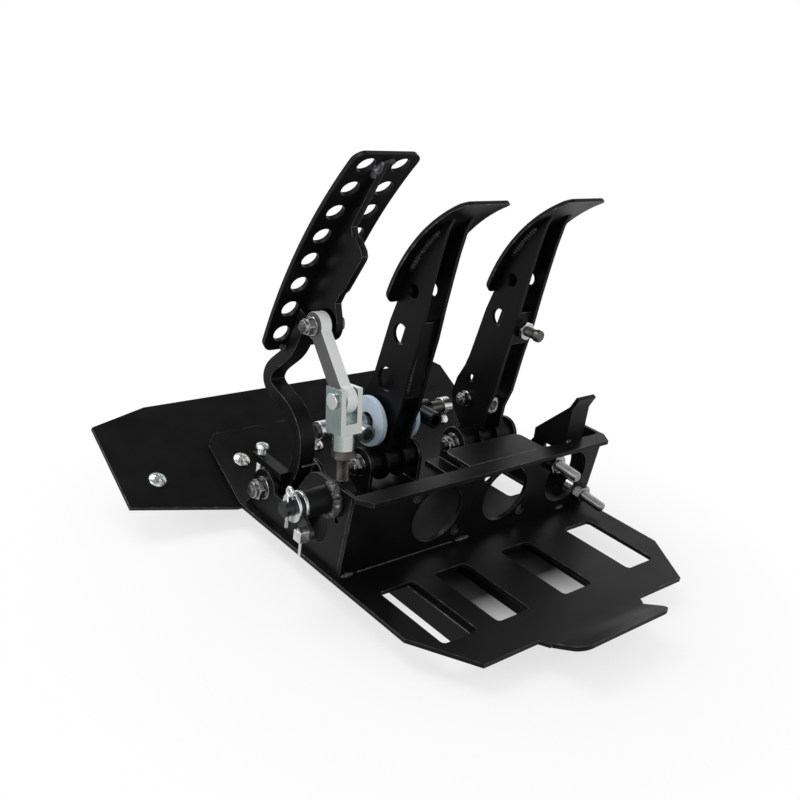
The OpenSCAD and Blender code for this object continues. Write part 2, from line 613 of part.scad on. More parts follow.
base_tray();
tray_runners();
front_face();
side_left();
side_right();
top_plate();
heel_plate();
heel_screws();
heel_nuts();
stop_bracket();
throttle_bracket();
brake_bracket();
clutch_bracket();
crank_tube();
cylinder_bolts();
cylinder_nuts();
throttle_pivot_bolt();
throttle_pivot_nut();
brake_pivot_bolt();
brake_pivot_nut();
clutch_pivot_bolt();
clutch_pivot_nut();
return_spring();
throttle_blade();
throttle_rib();
throttle_arm();
throttle_hub();
throttle_stop_screw();
link_bolt();
link_nut();
throttle_link();
crank_shaft();
crank_rod();
rod_nut();
crank_clevis();
clevis_pin();
crank_lever();
cable_clamp();
shaft_washers();
split_pin();
brake_plate_left();
brake_plate_right();
brake_pad();
brake_hub();
bar_sleeve();
brake_stiffener();
nylon_washers();
balance_bar();
bar_barrels();
bar_nuts();
clutch_plate_left();
clutch_plate_right();
clutch_pad();
clutch_hub();
clutch_block();
clutch_stop_bolt();
clutch_stop_nut();
clutch_rod_bolt();
clutch_trunnion();
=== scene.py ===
"""Looks of a three-pedal box: rounded sheet edges, threaded fasteners, weld beads and finishes."""
import json
import math

import bmesh
import bpy
from mathutils import Matrix, Vector


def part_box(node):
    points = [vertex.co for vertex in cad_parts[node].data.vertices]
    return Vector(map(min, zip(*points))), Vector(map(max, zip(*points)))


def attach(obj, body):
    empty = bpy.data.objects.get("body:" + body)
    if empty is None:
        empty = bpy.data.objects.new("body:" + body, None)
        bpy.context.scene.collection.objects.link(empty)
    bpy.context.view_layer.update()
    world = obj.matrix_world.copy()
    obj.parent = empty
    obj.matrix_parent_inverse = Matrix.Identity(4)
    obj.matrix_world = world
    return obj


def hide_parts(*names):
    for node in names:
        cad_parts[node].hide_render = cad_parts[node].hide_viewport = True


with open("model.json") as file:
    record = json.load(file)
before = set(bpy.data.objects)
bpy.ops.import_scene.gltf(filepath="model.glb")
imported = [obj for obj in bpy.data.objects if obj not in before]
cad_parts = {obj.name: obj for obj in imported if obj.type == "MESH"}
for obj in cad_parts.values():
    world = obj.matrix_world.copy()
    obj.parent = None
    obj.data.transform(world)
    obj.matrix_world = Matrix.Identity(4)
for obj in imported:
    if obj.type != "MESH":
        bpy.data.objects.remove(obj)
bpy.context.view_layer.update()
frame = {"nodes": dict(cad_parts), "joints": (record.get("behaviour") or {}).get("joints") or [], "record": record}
MM = 0.001
LEFT = Vector((-1, 0, 0))
BACK = Vector((0, 1, 0))
UP = Vector((0, 0, 1))

# Camera at the photograph's place, in the row frame
CAMERA_POS = Vector((-0.4368, -0.43803, 0.3561))
CAMERA_AZIMUTH = math.radians(42.95)
CAMERA_DIP = math.radians(21.64)
CAMERA_ROLL = math.radians(8.23)
CAMERA_LENS = 44.66
CAMERA_SENSOR = 36

BODY_OF = {n: b for b, ns in frame["record"]["behaviour"]["bodies"].items() for n in ns}
JOINT = {j["name"]: Vector(j["pos_m"]) for j in frame["joints"]}
FACE_OUT = Vector(frame["record"]["mounts"][0]["axis"])


# Camera, floor and light

def make_camera():
    flat = math.cos(CAMERA_DIP)
    ahead = Vector((math.sin(CAMERA_AZIMUTH) * flat, math.cos(CAMERA_AZIMUTH) * flat,
                    -math.sin(CAMERA_DIP)))
    level = ahead.cross(UP).normalized()
    right = Matrix.Rotation(-CAMERA_ROLL, 3, ahead) @ level
    up = right.cross(ahead)
    data = bpy.data.cameras.new("camera")
    data.lens = CAMERA_LENS
    data.sensor_width = CAMERA_SENSOR
    data.clip_start = 0.01
    cam = bpy.data.objects.new("camera", data)
    cam.matrix_world = Matrix((right, up, -ahead)).transposed().to_4x4()
    cam.location = CAMERA_POS
    bpy.context.scene.collection.objects.link(cam)
    bpy.context.scene.camera = cam


def math_node(tree, operation, first, second):
    """A math node of two inputs, each a socket or a number."""
    node = tree.nodes.new("ShaderNodeMath")
    node.operation = operation
    for socket, value in zip(node.inputs, (first, second)):
        if isinstance(value, (int, float)):
            socket.default_value = value
        else:
            tree.links.new(value, socket)
    return node.outputs[0]


def map_range(tree, value, low, high, to_low, to_high):
    node = tree.nodes.new("ShaderNodeMapRange")
    node.inputs["From Min"].default_value = low
    node.inputs["From Max"].default_value = high
    node.inputs["To Min"].default_value = to_low
    node.inputs["To Max"].default_value = to_high
    tree.links.new(value, node.inputs["Value"])
    return node.outputs["Result"]


def split_xyz(tree, output):
    parts = tree.nodes.new("ShaderNodeSeparateXYZ")
    tree.links.new(output, parts.inputs[0])
    return parts.outputs


def seen_ray(tree):
    """1 for camera, glossy and transmission rays, 0 for the rays that light the object."""
    path = tree.nodes.new("ShaderNodeLightPath")
    first = math_node(tree, "MAXIMUM", path.outputs["Is Camera Ray"], path.outputs["Is Glossy Ray"])
    return math_node(tree, "MAXIMUM", first, path.outputs["Is Transmission Ray"])


def make_world():
    """White up to a low height and darker overhead, as in a light tent with an open top."""
    world = bpy.data.worlds.new("studio")
    world.use_nodes = True
    bpy.context.scene.world = world
    ambient = 0.5
    wall_end = 0.4
    roof_start = 0.72
    roof_level = 0.25
    tree = world.node_tree
    dim = tree.nodes["Background"]
    dim.inputs["Color"].default_value = (0.96, 0.98, 1.0, 1)
    dim.inputs["Strength"].default_value = ambient
    coord = tree.nodes.new("ShaderNodeTexCoord")
    height = split_xyz(tree, coord.outputs["Generated"])["Z"]
    tent = tree.nodes.new("ShaderNodeBackground")
    tent.inputs["Color"].default_value = (1, 1, 1, 1)
    tree.links.new(map_range(tree, height, wall_end, roof_start, 1.0, roof_level), tent.inputs["Strength"])
    mix = tree.nodes.new("ShaderNodeMixShader")
    tree.links.new(seen_ray(tree), mix.inputs["Fac"])
    tree.links.new(dim.outputs[0], mix.inputs[1])
    tree.links.new(tent.outputs[0], mix.inputs[2])
    tree.links.new(mix.outputs[0], tree.nodes["World Output"].inputs["Surface"])


def make_floor():
    """A pale floor: its colour darkened under the tray's windows as painted shade, a soft rendered shadow round
    the box, white beyond.
    """
    half = 12.0
    floor_z = -0.2 * MM
    mesh = bpy.data.meshes.new("floor")
    corners = [(-half, -half), (half, -half), (half, half), (-half, half)]
    mesh.from_pydata([(x, y, floor_z) for x, y in corners], [], [(0, 1, 2, 3)])
    floor = bpy.data.objects.new("floor", mesh)
    bpy.context.scene.collection.objects.link(floor)
    mat = bpy.data.materials.new("floor_white")
    mat.use_nodes = True
    tree = mat.node_tree
    diffuse = tree.nodes["Principled BSDF"]
    diffuse.inputs["Roughness"].default_value = 0.9
    diffuse.inputs["Specular IOR Level"].default_value = 0.0
    place = tree.nodes.new("ShaderNodeNewGeometry")
    parts = split_xyz(tree, place.outputs["Position"])
    x_mid = 0.035
    x_half = 0.075
    y_front = (-0.07, -0.15)
    y_back = (0.0, 0.04)
    across = math_node(tree, "ABSOLUTE", math_node(tree, "SUBTRACT", parts["X"], x_mid), 0.0)
    beside = map_range(tree, across, 0.85 * x_half, x_half, 0.0, 1.0)
    ahead = map_range(tree, parts["Y"], *y_front, 0.0, 1.0)
    behind = map_range(tree, parts["Y"], *y_back, 0.0, 1.0)
    under = math_node(tree, "MAXIMUM", math_node(tree, "MAXIMUM", beside, ahead), behind)
    shadow_ring = (0.14, 0.3)
    shadow_level = 0.72
    mirrored_level = 0.6
    away = tree.nodes.new("ShaderNodeVectorMath")
    away.operation = "LENGTH"
    tree.links.new(place.outputs["Position"], away.inputs[0])
    open_floor = map_range(tree, away.outputs["Value"], *shadow_ring, shadow_level, 1.0)
    clear = math_node(tree, "MINIMUM", under, open_floor)
    # Painted shade: the floor's colour is darkened under the tray, where it shows through the tray's windows
    shade = ramp_colour(tree, under, [(0.0, (0.1, 0.1, 0.1)), (1.0, (0.93, 0.93, 0.93))])
    tree.links.new(shade, diffuse.inputs["Base Color"])
    glow = tree.nodes.new("ShaderNodeEmission")
    path = tree.nodes.new("ShaderNodeLightPath")
    level = map_range(tree, path.outputs["Is Glossy Ray"], 0, 1, 1.0, mirrored_level)
    tree.links.new(level, glow.inputs["Strength"])
    mix = tree.nodes.new("ShaderNodeMixShader")
    tree.links.new(math_node(tree, "MULTIPLY", seen_ray(tree), clear), mix.inputs["Fac"])
    tree.links.new(diffuse.outputs[0], mix.inputs[1])
    tree.links.new(glow.outputs[0], mix.inputs[2])
    tree.links.new(mix.outputs[0], tree.nodes["Material Output"].inputs["Surface"])
    mesh.materials.append(mat)


def area_light(name, place, target, size, power):
    data = bpy.data.lights.new(name, "AREA")
    data.size = size
    data.energy = power
    lamp = bpy.data.objects.new(name, data)
    lamp.location = place
    lamp.rotation_euler = (Vector(target) - Vector(place)).to_track_quat("-Z", "Y").to_euler()
    bpy.context.scene.collection.objects.link(lamp)


def make_lights():
    area_light("overhead", place=(-0.45, 0.75, 1.5), target=(0, 0, 0.05), size=1.0, power=14)
    area_light("left_fill", place=(-1.5, -0.1, 0.7), target=(0, 0, 0.1), size=0.8, power=5)


# Finishes

def start_material(name, colour, metallic, roughness):
    mat = bpy.data.materials.new(name)
    mat.use_nodes = True
    shader = mat.node_tree.nodes["Principled BSDF"]
    shader.inputs["Base Color"].default_value = (*colour, 1)
    shader.inputs["Metallic"].default_value = metallic
    shader.inputs["Roughness"].default_value = roughness
    return mat, mat.node_tree, shader


def noise(tree, scale, detail=3.0):
    """Noise in object space, its scale in cycles per metre."""
    coord = tree.nodes.new("ShaderNodeTexCoord")
    tex = tree.nodes.new("ShaderNodeTexNoise")
    tex.inputs["Scale"].default_value = scale
    tex.inputs["Detail"].default_value = detail
    tree.links.new(coord.outputs["Object"], tex.inputs["Vector"])
    return tex.outputs["Fac"]


def ramp_colour(tree, factor, stops):
    ramp = tree.nodes.new("ShaderNodeValToRGB")
    ramp.color_ramp.elements[0].position = stops[0][0]
    ramp.color_ramp.elements[0].color = (*stops[0][1], 1)
    ramp.color_ramp.elements[1].position = stops[-1][0]
    ramp.color_ramp.elements[1].color = (*stops[-1][1], 1)
    for place, colour in stops[1:-1]:
        ramp.color_ramp.elements.new(place).color = (*colour, 1)
    tree.links.new(factor, ramp.inputs["Fac"])
    return ramp.outputs["Color"]


def vary_colour(tree, shader, factor, stops):
    tree.links.new(ramp_colour(tree, factor, stops), shader.inputs["Base Color"])


def vary_roughness(tree, shader, factor, low, high):
    tree.links.new(map_range(tree, factor, 0.3, 0.7, low, high), shader.inputs["Roughness"])


def facing_side(tree):
    """1 on a face that looks along X in the piece's own axes, 0 on one that looks across it."""
    coord = tree.nodes.new("ShaderNodeTexCoord")
    return math_node(tree, "ABSOLUTE", split_xyz(tree, coord.outputs["Normal"])["X"], 0.0)


def add_bump(tree, shader, factor, strength, depth):
    bump = tree.nodes.new("ShaderNodeBump")
    bump.inputs["Strength"].default_value = strength
    bump.inputs["Distance"].default_value = depth
    tree.links.new(factor, bump.inputs["Height"])
    tree.links.new(bump.outputs["Normal"], shader.inputs["Normal"])


def black_coat():
    mat, tree, shader = start_material("black_powder_coat", (0.0045, 0.0047, 0.0048), 0, 0.4)
    shader.inputs["Specular IOR Level"].default_value = 0.16
    cloud = noise(tree, 40, 4)
    vary_colour(tree, shader, cloud, [(0.3, (0.003, 0.0032, 0.0033)), (0.7, (0.0055, 0.0057, 0.0058))])
    vary_roughness(tree, shader, cloud, 0.3, 0.44)
    add_bump(tree, shader, noise(tree, 850, 2), 0.3, 0.04 * MM)
    return mat


def coat_edge():
    """The same coat where it is drawn thin over an edge: glossier, its colour lightened in patches as a painted
    highlight, partly wear.
    """
    mat, tree, shader = start_material("coat_edge", (0.012, 0.012, 0.0125), 0, 0.26)
    shader.inputs["Specular IOR Level"].default_value = 0.6
    highlight_and_wear = noise(tree, 160, 4)
    # Painted highlight: the edge strips are lightened in patches, partly standing for wear
    vary_colour(tree, shader, highlight_and_wear,
                [(0.38, (0.02, 0.02, 0.021)), (0.58, (0.08, 0.08, 0.083)), (0.74, (0.32, 0.32, 0.32))])
    vary_roughness(tree, shader, highlight_and_wear, 0.2, 0.36)
    return mat


def weld_coat():
    mat, tree, shader = start_material("coated_weld", (0.02, 0.02, 0.021), 0, 0.3)
    shader.inputs["Specular IOR Level"].default_value = 0.5
    vary_colour(tree, shader, noise(tree, 300),
                [(0.35, (0.006, 0.006, 0.0065)), (0.7, (0.03, 0.03, 0.031))])
    vary_roughness(tree, shader, noise(tree, 500), 0.22, 0.42)
    add_bump(tree, shader, noise(tree, 1500, 2), 0.3, 0.05 * MM)
    return mat


def worn_weld():
    mat, tree, shader = start_material("worn_weld", (0.1, 0.1, 0.105), 0.3, 0.4)
    vary_colour(tree, shader, noise(tree, 420, 4),
                [(0.4, (0.03, 0.03, 0.032)), (0.6, (0.09, 0.09, 0.095)), (0.72, (0.45, 0.45, 0.45))])
    vary_roughness(tree, shader, noise(tree, 500), 0.3, 0.55)
    add_bump(tree, shader, noise(tree, 1100, 3), 0.5, 0.15 * MM)
    return mat


def zinc_plate():
    mat, tree, shader = start_material("zinc_plate", (0.68, 0.71, 0.71), 1, 0.28)
    vary_colour(tree, shader, noise(tree, 70, 2),
                [(0.3, (0.58, 0.65, 0.65)), (0.5, (0.69, 0.73, 0.73)), (0.7, (0.8, 0.8, 0.76))])
    vary_roughness(tree, shader, noise(tree, 260, 4), 0.16, 0.34)
    add_bump(tree, shader, noise(tree, 1400, 2), 0.12, 0.03 * MM)
    return mat


def fork_plate():
    """A fork milled from drawn bar: the faces that look along X are painted a darker greenish grey as painted
    shade, the cut faces bright zinc.
    """
    mat, tree, shader = start_material("fork_plate", (0.69, 0.72, 0.72), 1, 0.26)
    mottle = math_node(tree, "MULTIPLY", noise(tree, 90, 3), 0.2)
    # Painted shade: faces that look along X are darkened
    vary_colour(tree, shader, math_node(tree, "SUBTRACT", facing_side(tree), mottle),
                [(0.45, (0.76, 0.78, 0.75)), (0.72, (0.44, 0.52, 0.51)), (0.9, (0.3, 0.38, 0.37))])
    vary_roughness(tree, shader, noise(tree, 260, 4), 0.16, 0.32)
    return mat


# Brighter zinc: on the rounded edges of plated parts its lighter colour is a painted highlight; the cable clamp
# and split pin are made of it whole
def zinc_edge():
    mat, tree, shader = start_material("zinc_edge", (0.85, 0.86, 0.85), 1, 0.2)
    vary_colour(tree, shader, noise(tree, 200, 3), [(0.3, (0.7, 0.73, 0.73)), (0.7, (0.9, 0.9, 0.87))])
    vary_roughness(tree, shader, noise(tree, 300, 3), 0.14, 0.28)
    return mat


def barrel_plate(split_x):
    """Zinc plate left of a place, and a dark oiled finish right of it."""
    mat, tree, shader = start_material("barrel_plate", (0.4, 0.43, 0.44), 1, 0.3)
    coord = tree.nodes.new("ShaderNodeTexCoord")
    side = math_node(tree, "GREATER_THAN", split_xyz(tree, coord.outputs["Object"])["X"], split_x)
    shade = math_node(tree, "MULTIPLY", math_node(tree, "SUBTRACT", 1.0, side), noise(tree, 110, 3))
    vary_colour(tree, shader, shade,
                [(0.1, (0.03, 0.031, 0.033)), (0.3, (0.36, 0.41, 0.43)), (0.7, (0.5, 0.5, 0.47))])
    vary_roughness(tree, shader, noise(tree, 260, 4), 0.22, 0.4)
    return mat


def bright_steel():
    mat, tree, shader = start_material("bright_steel", (0.42, 0.42, 0.42), 1, 0.2)
    vary_colour(tree, shader, noise(tree, 160, 3), [(0.3, (0.3, 0.3, 0.31)), (0.7, (0.52, 0.51, 0.5))])
    vary_roughness(tree, shader, noise(tree, 320, 4), 0.12, 0.28)
    return mat


def dark_steel():
    mat, tree, shader = start_material("dark_steel", (0.14, 0.135, 0.13), 1, 0.38)
    vary_colour(tree, shader, noise(tree, 200, 3), [(0.3, (0.08, 0.077, 0.075)), (0.7, (0.2, 0.19, 0.18))])
    vary_roughness(tree, shader, noise(tree, 400, 3), 0.28, 0.48)
    return mat


def oiled_steel():
    mat, tree, shader = start_material("oiled_steel", (0.045, 0.05, 0.055), 1, 0.3)
    vary_colour(tree, shader, noise(tree, 200, 3), [(0.3, (0.03, 0.034, 0.038)), (0.7, (0.07, 0.075, 0.08))])
    vary_roughness(tree, shader, noise(tree, 400, 3), 0.22, 0.4)
    return mat


def link_metal():
    """A sawn link: its flat sides, which look along X, painted dark as painted shade, and its cut edge painted
    near white as a painted highlight.
    """
    mat, tree, shader = start_material("sawn_link", (0.5, 0.5, 0.5), 0.1, 0.45)
    mottle = math_node(tree, "MULTIPLY", noise(tree, 240, 4), 0.3)
    # Painted shade on the flat sides and a painted highlight on the edges, by the way each face looks
    vary_colour(tree, shader, math_node(tree, "SUBTRACT", facing_side(tree), mottle),
                [(0.2, (0.95, 0.95, 0.94)), (0.62, (0.8, 0.8, 0.79)), (0.74, (0.1, 0.098, 0.096)),
                 (0.92, (0.075, 0.074, 0.073))])
    vary_roughness(tree, shader, noise(tree, 300, 3), 0.36, 0.55)
    add_bump(tree, shader, noise(tree, 1200, 3), 0.25, 0.05 * MM)
    return mat


def nylon():
    mat, tree, shader = start_material("pale_nylon", (0.62, 0.76, 0.88), 0, 0.42)
    shader.inputs["Subsurface Weight"].default_value = 0.25
    shader.inputs["Subsurface Radius"].default_value = (0.002, 0.003, 0.004)
    vary_colour(tree, shader, noise(tree, 90, 3), [(0.3, (0.55, 0.7, 0.84)), (0.7, (0.67, 0.79, 0.9))])
    vary_roughness(tree, shader, noise(tree, 250, 3), 0.35, 0.5)
    return mat


def lock_insert():
    mat, tree, shader = start_material("lock_ring_nylon", (0.1, 0.09, 0.42), 0, 0.35)
    vary_colour(tree, shader, noise(tree, 300, 3), [(0.3, (0.07, 0.06, 0.34)), (0.7, (0.14, 0.12, 0.5))])
    return mat


COAT = black_coat()
COAT_EDGE = coat_edge()
WELD = weld_coat()
WORN = worn_weld()
ZINC = zinc_plate()
ZINC_EDGE = zinc_edge()
FORK = fork_plate()
BARREL = barrel_plate(JOINT["brake_pivot"].x)
STEEL = bright_steel()
DARK = dark_steel()
OILED = oiled_steel()
LINK = link_metal()
NYLON = nylon()
INSERT = lock_insert()


# Mesh helpers

MERGE = 0.002 * MM
FLAT_ANGLE = math.radians(0.5)
CORNER_ANGLE = math.radians(30)
LATHE_STEPS = 48
HEX_STEPS = 72
THREAD_STEPS = 28
BEAD_STEPS = 12


def add_piece(name, mesh, mat, body, nodes=(), edge=None):
    """Add a mesh to a body in place of nodes. The edge material, lighter to paint a highlight on the rounded
    edges, goes on the faces with index 1.
    """
    strips = [face.material_index for face in mesh.polygons]
    mesh.materials.clear()
    mesh.materials.append(mat)
    if edge:
        mesh.materials.append(edge)
        mesh.polygons.foreach_set("material_index", strips)
    piece = bpy.data.objects.new(name, mesh)
    bpy.context.scene.collection.objects.link(piece)
    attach(piece, body)
    if nodes:
        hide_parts(*nodes)
    return piece


def smooth_by_angle(mesh, degrees):
    mesh.polygons.foreach_set("use_smooth", [True] * len(mesh.polygons))
    mesh.set_sharp_from_angle(angle=math.radians(degrees))


def round_edges(mesh, width, edge_index):
    """Round the sharp edges of a mesh. The strips take the material with the given index."""
    bm = bmesh.new()
    bm.from_mesh(mesh)
    bmesh.ops.remove_doubles(bm, verts=bm.verts, dist=MERGE)
    bmesh.ops.dissolve_limit(bm, angle_limit=FLAT_ANGLE, verts=bm.verts, edges=bm.edges)
    sharp = [e for e in bm.edges if len(e.link_faces) == 2 and e.calc_face_angle() > CORNER_ANGLE]
    bmesh.ops.bevel(bm, geom=sharp, offset=width, offset_type="OFFSET", segments=2, profile=0.5,
                    affect="EDGES", clamp_overlap=True, material=edge_index)
    bm.to_mesh(mesh)
    bm.free()
    smooth_by_angle(mesh, 40)


def rounded_skin(node, width, mat, edge=None):
    """A copy of a node with its sharp edges rounded off, as coating leaves them."""
    mesh = frame["nodes"][node].data.copy()
    mesh.name = node + "_skin"
    mesh.polygons.foreach_set("material_index", [0] * len(mesh.polygons))
    round_edges(mesh, width, 1 if edge else 0)
    piece = add_piece(node + "_skin", mesh, mat, BODY_OF[node], [node], edge)
    even = piece.modifiers.new("even_normals", "WEIGHTED_NORMAL")
    even.keep_sharp = True


def smooth_skin(node, mat):
    """A copy of a round wire with its facets shaded smooth."""
    mesh = frame["nodes"][node].data.copy()
    bm = bmesh.new()
    bm.from_mesh(mesh)
    bmesh.ops.remove_doubles(bm, verts=bm.verts, dist=MERGE)
    bm.to_mesh(mesh)
    bm.free()
    smooth_by_angle(mesh, 60)
    add_piece(node + "_skin", mesh, mat, BODY_OF[node], [node])


def islands(node):
    """The points of each separate solid of a node."""
    bm = bmesh.new()
    bm.from_mesh(frame["nodes"][node].data)
    bmesh.ops.remove_doubles(bm, verts=bm.verts, dist=MERGE)
    groups = []
    left = set(bm.verts)
    while left:
        todo = [left.pop()]
        group = []
        while todo:
            vert = todo.pop()
            group.append(vert.co.copy())
            for edge in vert.link_edges:
                other = edge.other_vert(vert)
                if other in left:
                    left.remove(other)
                    todo.append(other)
        groups.append(group)
    bm.free()
    return groups


def cross_axes(axis):
    """Two unit vectors across an axis, and the axis itself as one."""
    axis = axis.normalized()
    side = UP if abs(axis.z) < 0.9 else BACK
    u = side.cross(axis).normalized()
    return u, axis.cross(u), axis


def axis_ends(points, axis):
    """Start and end of a turned solid on its axis."""
    u, v, w = cross_axes(axis)
    middle = Vector((0, 0, 0))
    for d in (u, v):
        reach = [p.dot(d) for p in points]
        middle += d * (min(reach) + max(reach)) / 2
    along = [p.dot(w) for p in points]
    return middle + w * min(along), middle + w * max(along)


def ring_mesh(name, rings, joined):
    """A skin over rings of equal length. The last ring joins the first, or both ends are closed."""
    bm = bmesh.new()
    loops = [[bm.verts.new(p) for p in ring] for ring in rings]
    pairs = list(zip(loops, loops[1:]))
    if joined:
        pairs.append((loops[-1], loops[0]))
    n = len(loops[0])
    for low, high in pairs:
        for k in range(n):
            bm.faces.new((low[k], low[(k + 1) % n], high[(k + 1) % n], high[k]))
    if not joined:
        bm.faces.new(list(reversed(loops[0])))
        bm.faces.new(loops[-1])
    bmesh.ops.recalc_face_normals(bm, faces=bm.faces)
    mesh = bpy.data.meshes.new(name)
    bm.to_mesh(mesh)
    bm.free()
    smooth_by_angle(mesh, 35)
    return mesh


def turned_rings(origin, axis, radii, heights, segments):
    """Rings about an axis: radii and heights are functions of the angle, one pair for each ring."""
    u, v, w = cross_axes(axis)
    rings = []
    for radius, height in zip(radii, heights):
        ring = []
        for k in range(segments):
            a = 2 * math.pi * k / segments
            ring.append(origin + w * height(a) + (u * math.cos(a) + v * math.sin(a)) * radius(a))
        rings.append(ring)
    return rings


def turned(name, origin, axis, profile, joined=False):
    """A lathe shape from (radius, height) pairs."""
    radii = [lambda a, r=r: r for r, _ in profile]
    heights = [lambda a, h=h: h for _, h in profile]
    return ring_mesh(name, turned_rings(origin, axis, radii, heights, LATHE_STEPS), joined)


def hex_mesh(name, origin, axis, flats, height, bore, turn=0.0, collar=0.0):
    """A hexagon nut with turned chamfers, and a round collar on its far end where it is a lock nut."""
    half = flats / 2
    chamfer_r = half * 0.97
    slope = math.tan(math.radians(27))
    sixth = math.pi / 3

    def side(a):
        return half / math.cos((a + turn + sixth / 2) % sixth - sixth / 2)

    def low(a):
        return (side(a) - chamfer_r) * slope

    def high(a):
        return height - low(a)

    def fixed(value):
        return lambda a: value

    radii = [fixed(bore), fixed(chamfer_r), side, side, fixed(chamfer_r)]
    heights = [fixed(0), fixed(0), low, high, fixed(height)]
    if collar:
        outer = half * 0.88
        lip = outer * 0.82
        radii += [fixed(outer), fixed(outer), fixed(outer * 0.95), fixed(lip), fixed(lip), fixed(bore)]
        heights += [fixed(height), fixed(height + collar * 0.6), fixed(height + collar * 0.9),
                    fixed(height + collar), fixed(height + collar * 0.5), fixed(height + collar * 0.5)]
    else:
        radii.append(fixed(bore))
        heights.append(fixed(height))
    return ring_mesh(name, turned_rings(origin, axis, radii, heights, HEX_STEPS), True)


def thread_mesh(name, origin, axis, length, radius, pitch):
    """A helical thread with a chamfered end, from the origin along the axis."""
    depth = 0.55 * pitch
    end_cut = 0.7 * pitch
    rings_per_turn = 6
    steps = max(2, round(length / pitch * rings_per_turn))
    radii = []
    heights = []
    for i in range(steps + 1):
        z = length * i / steps

        def radius_at(a, z=z):
            phase = (z / pitch - a / (2 * math.pi)) % 1
            groove = depth * abs(2 * phase - 1)
            return min(radius - groove, radius - end_cut + (length - z))

        radii.append(radius_at)
        heights.append(lambda a, z=z: z)
    return ring_mesh(name, turned_rings(origin, axis, radii, heights, THREAD_STEPS), False)


def join_meshes(name, meshes):
    bm = bmesh.new()
    for mesh in meshes:
        bm.from_mesh(mesh)
        bpy.data.meshes.remove(mesh)
    joined = bpy.data.meshes.new(name)
    bm.to_mesh(joined)
    bm.free()
    smooth_by_angle(joined, 35)
    return joined


def tube_mesh(name, points, radius_at):
    """A tube along points, its radius a function of the length run."""
    rings = []
    run = 0.0
    last = len(points) - 1
    for i, point in enumerate(points):
        if i:
            run += (point - points[i - 1]).length
        along = points[min(i + 1, last)] - points[max(i - 1, 0)]
        u, v, _ = cross_axes(along)
        r = radius_at(run)
        rings.append([point + (u * math.cos(a) + v * math.sin(a)) * r
                      for a in (2 * math.pi * k / BEAD_STEPS for k in range(BEAD_STEPS))])
    return ring_mesh(name, rings, False)


def weld_bead(name, points, radius, body, mat):
    """A rippled bead along a joint, half of it sunk in the plates."""
    ripple = 2.4 * MM
    ripple_depth = 0.16
    end_share = 0.45
    end_run = 1.5 * radius
    step = 0.5 * MM
    dense = []
    for p, q in zip(points, points[1:]):
        count = max(2, round((q - p).length / step))
        dense += [p.lerp(q, k / count) for k in range(count)]
    dense.append(points[-1])
    length = sum((q - p).length for p, q in zip(dense, dense[1:]))

    def radius_at(run):
        taper = min(1, end_share + (1 - end_share) * min(run, length - run) / end_run)
        return radius * taper * (1 - ripple_depth + ripple_depth * abs(math.sin(math.pi * run / ripple)))

    add_piece(name, tube_mesh(name, dense, radius_at), mat, body)


# Sheet metal and pedals with rounded edges

SHEETS = ["base_tray", "tray_runners", "front_face", "side_left", "side_right", "top_plate", "heel_plate",
          "stop_bracket", "throttle_bracket", "brake_bracket", "clutch_bracket", "throttle_blade",
          "throttle_arm", "throttle_hub", "brake_plate_left", "brake_plate_right",
          "brake_pad", "brake_hub", "bar_sleeve", "brake_stiffener", "clutch_plate_left",
          "clutch_plate_right", "clutch_pad", "clutch_hub", "clutch_block", "crank_tube"]
PLATED = ["bar_nuts", "shaft_washers", "clutch_trunnion", "clevis_pin"]
COAT_ROUND = 0.55 * MM
PLATE_ROUND = 0.45 * MM
TURNED_ROUND = 0.35 * MM


def dress_rest():
    """Give every node plain zinc, which shows on those that no piece replaces."""
    for obj in frame["nodes"].values():
        obj.data.materials.clear()
        obj.data.materials.append(ZINC)


def dress_sheets():
    for node in SHEETS:
        rounded_skin(node, COAT_ROUND, COAT, COAT_EDGE)
    for node in PLATED:
        rounded_skin(node, PLATE_ROUND, ZINC, ZINC_EDGE)
    rounded_skin("crank_clevis", 0.7 * MM, FORK, ZINC_EDGE)
    rounded_skin("bar_barrels", TURNED_ROUND, BARREL)
    rounded_skin("balance_bar", TURNED_ROUND, DARK)
    rounded_skin("crank_shaft", 0.5 * MM, OILED)
    rounded_skin("crank_lever", TURNED_ROUND, OILED)
    rounded_skin("cable_clamp", TURNED_ROUND, ZINC_EDGE)
    rounded_skin("throttle_link", 0.5 * MM, LINK)
    rounded_skin("nylon_washers", 0.4 * MM, NYLON)
    rounded_skin("heel_screws", 0.25 * MM, ZINC)
    smooth_skin("split_pin", ZINC_EDGE)
    smooth_skin("return_spring", DARK)


# Throttle rib carried up to the top of the blade, and stop gusset carried down behind the flange

# The rib's free edge and the middle of the blade's arc, as (y, z) in millimetres from the throttle pivot
RIB_FRONT = [(-65, 233.3), (-58, 219.8), (-43, 191), (-45, 185.6), (-48, 185.8), (-54.8, 179.3),
             (-56.1, 176), (-55.4, 173.3), (-42.7, 151.1), (-39.5, 148.2), (-36, 141), (-40, 130),
             (-37, 120), (-28, 116), (5, 119)]
BLADE_MIDDLE = (-350.5, -3.9)
BLADE_INSIDE = 372.3
RIB_BOSS_R = 10.5 * MM


def extruded(name, outline, x0, x1):
    """A plate across X from points (y, z)."""
    bm = bmesh.new()
    face = bm.faces.new([bm.verts.new((x0, y, z)) for y, z in outline])
    top = bmesh.ops.extrude_face_region(bm, geom=[face])["geom"]
    moved = [v for v in top if isinstance(v, bmesh.types.BMVert)]
    bmesh.ops.translate(bm, verts=moved, vec=(x1 - x0, 0, 0))
    bmesh.ops.recalc_face_normals(bm, faces=bm.faces)
    mesh = bpy.data.meshes.new(name)
    bm.to_mesh(mesh)
    bm.free()
    return mesh


